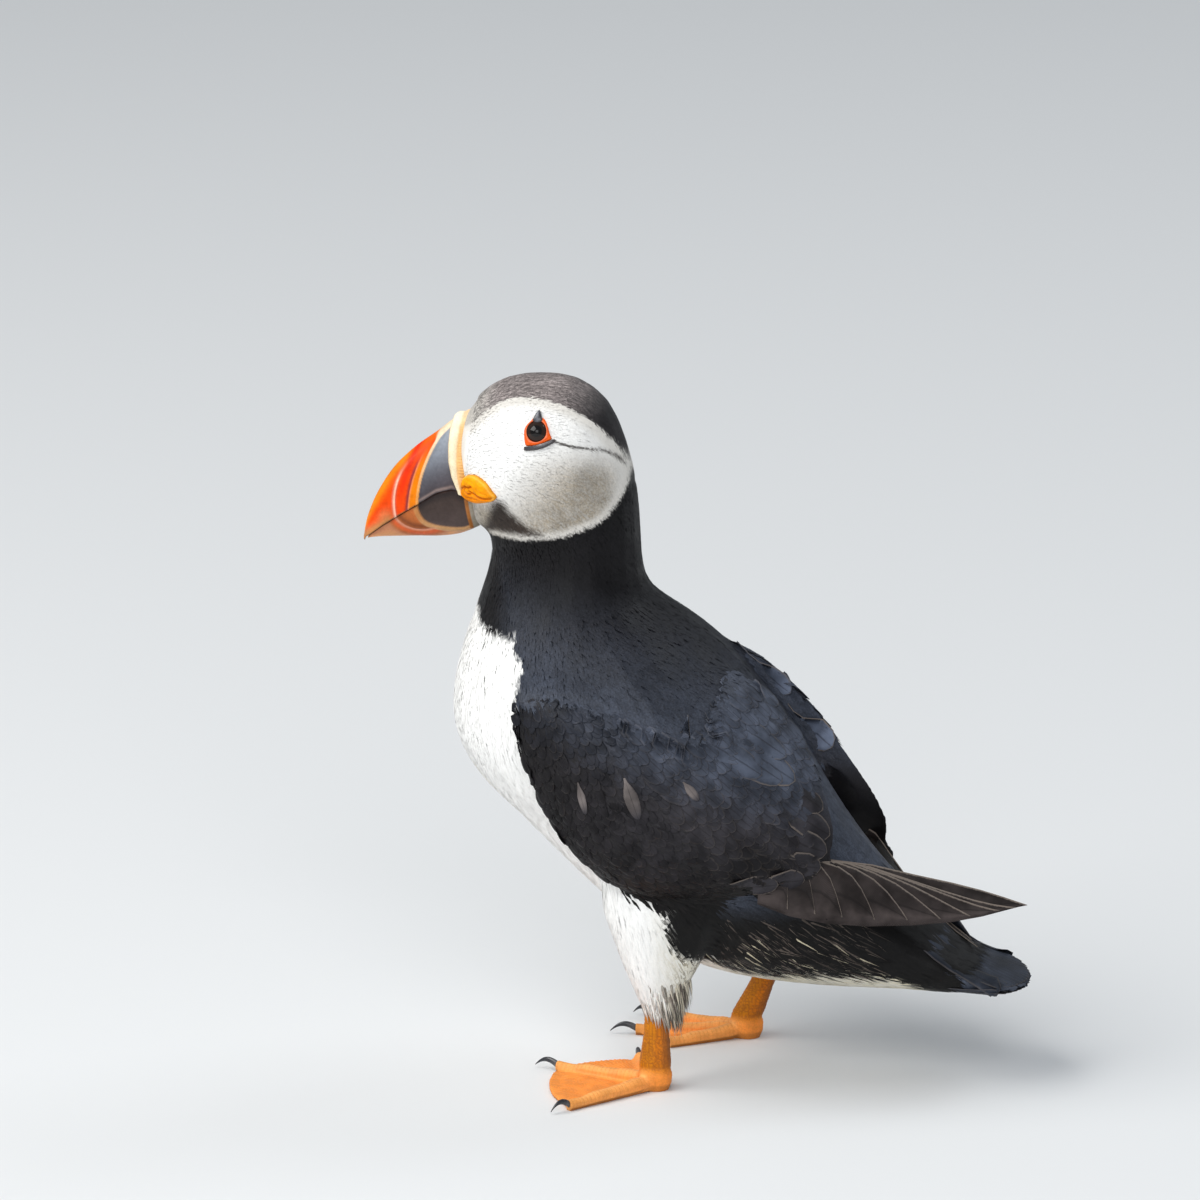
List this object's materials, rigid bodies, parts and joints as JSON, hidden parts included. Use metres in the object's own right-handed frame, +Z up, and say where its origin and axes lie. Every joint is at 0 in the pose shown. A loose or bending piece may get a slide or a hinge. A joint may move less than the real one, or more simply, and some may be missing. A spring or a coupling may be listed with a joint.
{
  "type": "atlantic puffin",
  "caption": "Standing Atlantic puffin, life size: plump black and white seabird with a deep banded orange bill, folded wings and webbed orange feet, as a still display model.",
  "frame": {"origin": "on the floor between the feet, under the middle of the bounding box", "axes": "+Z up through the standing bird, -Y the way the bill points, +X to the bird's left"},
  "size_m": [0.1043, 0.1918, 0.2013],
  "materials": {
    "plumage_black": "overlapping black contour feathers with a faint sheen",
    "plumage_white": "soft white contour feathers",
    "plumage_mixed": "black back and white breast feathers",
    "bill_horn": "grooved horn, orange-red with a slate blue base and cream ridge, satin",
    "cere_skin": "soft cream-yellow skin, satin",
    "rosette_skin": "wrinkled yellow-orange skin, satin",
    "eye": "wet dark brown eye with a red-orange rim",
    "lid_horn": "dark slate horn plates round the eye",
    "leg_skin": "scaly orange skin with webbing between the toes, satin",
    "claw_horn": "dark slate horn"
  },
  "bodies": {
    "root": {"head": "plumage_white", "neck": "plumage_black", "trunk": "plumage_mixed", "tail": "plumage_black", "wing_left": "plumage_black", "wing_right": "plumage_black", "thigh_left": "plumage_white", "thigh_right": "plumage_white", "bill_upper": "bill_horn", "bill_lower": "bill_horn", "bill_cere": "cere_skin", "rosette_left": "rosette_skin", "rosette_right": "rosette_skin", "eye_left": "eye", "eye_right": "eye", "eye_plate_upper_left": "lid_horn", "eye_plate_upper_right": "lid_horn", "eye_plate_lower_left": "lid_horn", "eye_plate_lower_right": "lid_horn", "tarsus_left": "leg_skin", "tarsus_right": "leg_skin", "foot_left": "leg_skin", "foot_right": "leg_skin", "claw_left_inner": "claw_horn", "claw_left_middle": "claw_horn", "claw_left_outer": "claw_horn", "claw_right_inner": "claw_horn", "claw_right_middle": "claw_horn", "claw_right_outer": "claw_horn"}
  },
  "joints": []
}
